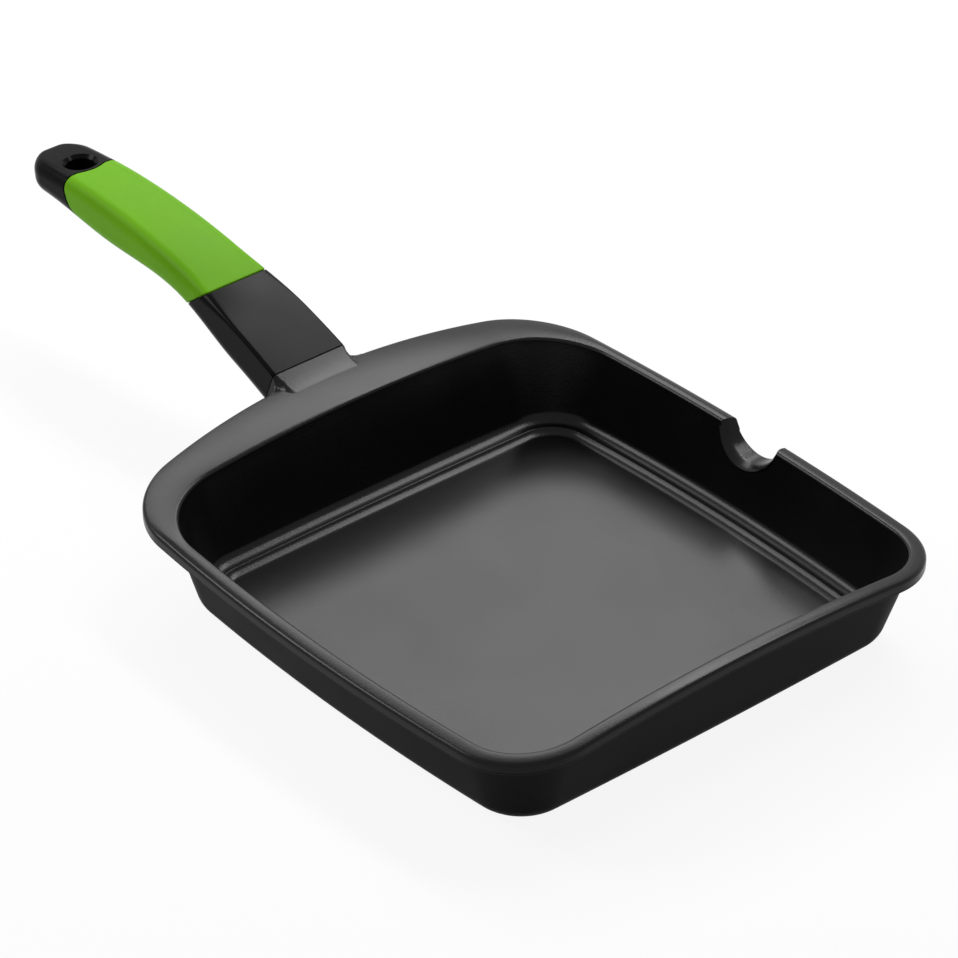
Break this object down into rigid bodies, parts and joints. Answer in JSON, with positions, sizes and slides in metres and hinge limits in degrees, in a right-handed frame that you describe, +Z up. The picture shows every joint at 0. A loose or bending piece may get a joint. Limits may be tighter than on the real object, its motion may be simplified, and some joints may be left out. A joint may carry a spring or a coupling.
{
  "type": "grill pan",
  "caption": "Square cast-aluminium grill pan with a smooth floor, arched rim, side pour notch, and a long rising handle in a soft grip sleeve with a hang hole.",
  "frame": {"origin": "middle of the flat base, on the plane that the pan stands on", "axes": "+Z up out of the pan, -Y along the handle away from the pan, +X to the right with the handle towards the viewer's back"},
  "size_m": [0.2435, 0.455, 0.0799],
  "materials": {
    "pan_body": "cast aluminium under a satin dark grey non-stick coating",
    "induction_base": "ferritic stainless steel, turned",
    "handle_core": "moulded phenolic plastic, polished black",
    "grip_sleeve": "moulded silicone, matt green",
    "handle_screw": "zinc-plated steel",
    "spring_washer": "spring steel",
    "flat_washer": "zinc-plated steel",
    "threaded_insert": "turned brass"
  },
  "bodies": {
    "root": {"pan_body": "pan_body", "induction_base": "induction_base", "handle_core": "handle_core", "grip_sleeve": "grip_sleeve", "handle_screw": "handle_screw", "spring_washer": "spring_washer", "flat_washer": "flat_washer", "threaded_insert": "threaded_insert"}
  },
  "joints": []
}
